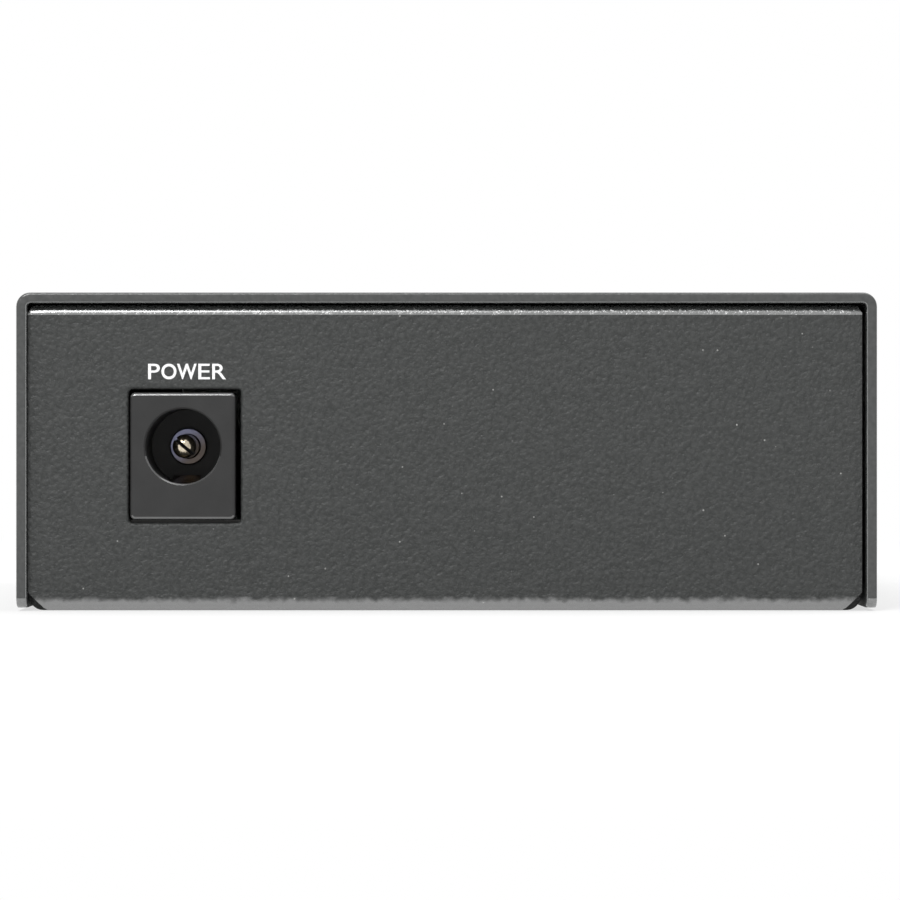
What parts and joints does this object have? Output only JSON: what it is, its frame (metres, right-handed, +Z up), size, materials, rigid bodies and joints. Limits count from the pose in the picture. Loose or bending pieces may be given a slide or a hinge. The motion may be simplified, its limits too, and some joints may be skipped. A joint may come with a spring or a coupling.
{
  "type": "fibre media converter",
  "caption": "Flat steel box that links a duplex fibre port to a copper network socket, with a power inlet at the plain end, indicator lamps and a mode switch at the port end.",
  "frame": {"origin": "middle of the underside, at table level, below the middle of the case's outline", "axes": "+Z up, +Y from the power inlet's end to the port end, +X to the left of someone facing the port end"},
  "size_m": [0.073, 0.0944, 0.027],
  "materials": {
    "powder_coat": "fine-textured dark grey powder coat",
    "jack_plastic": "moulded black plastic, slightly glossy edges",
    "nickel": "bright nickel plating",
    "blackened_steel": "blackened steel, satin",
    "zinc_steel": "zinc plated steel",
    "board_laminate": "green solder mask over laminate",
    "black_plastic": "moulded black plastic, matt",
    "port_insert": "moulded blue plastic, matt",
    "turned_steel": "fine turned steel",
    "tinned_shield": "tin plated sheet",
    "tinned_lead": "tin plated wire",
    "gold_plate": "gold plated contacts",
    "lamp_lens": "tinted diffusing lamp plastic, unlit",
    "slider_plastic": "white moulded plastic",
    "package_plastic": "moulded package, matt black",
    "ferrite": "dark grey ferrite",
    "capacitor_sleeve": "dark shrink sleeve on an aluminium can"
  },
  "bodies": {
    "case": {"base_tray": "powder_coat", "board_screws": "zinc_steel", "board_standoffs": "zinc_steel", "capacitor_1": "capacitor_sleeve", "capacitor_2": "capacitor_sleeve", "capacitor_3": "capacitor_sleeve", "capacitor_legs": "tinned_lead", "circuit_board": "board_laminate", "controller_chip": "package_plastic", "controller_leads": "tinned_lead", "copper_socket_housing": "black_plastic", "copper_socket_shield": "tinned_shield", "copper_socket_wires": "gold_plate", "cover": "powder_coat", "cover_screws": "blackened_steel", "fibre_port_latches": "port_insert", "fibre_receptacle": "black_plastic", "input_diode": "package_plastic", "lamp_1": "lamp_lens", "lamp_2": "lamp_lens", "lamp_3": "lamp_lens", "lamp_4": "lamp_lens", "lamp_5": "lamp_lens", "lamp_6": "lamp_lens", "lamp_holder": "black_plastic", "lamp_leads": "tinned_lead", "line_transformer": "package_plastic", "line_transformer_leads": "tinned_lead", "power_inductor": "ferrite", "power_jack_break_contact": "nickel", "power_jack_housing": "jack_plastic", "power_jack_pin": "nickel", "power_jack_spring": "nickel", "receive_optic": "turned_steel", "switch_base": "black_plastic", "switch_frame": "tinned_shield", "switch_terminals": "tinned_lead", "timing_crystal": "turned_steel", "transceiver_board": "board_laminate", "transceiver_pins": "gold_plate", "transceiver_shell": "black_plastic", "transmit_optic": "turned_steel", "voltage_regulator": "package_plastic"},
    "mode_slider": {"switch_slider": "slider_plastic"}
  },
  "joints": [
    {"name": "mode_switch_slide", "type": "slide", "parent": "case", "child": "mode_slider", "axis": [1, 0, 0], "range_m": [0, 0.002]}
  ]
}
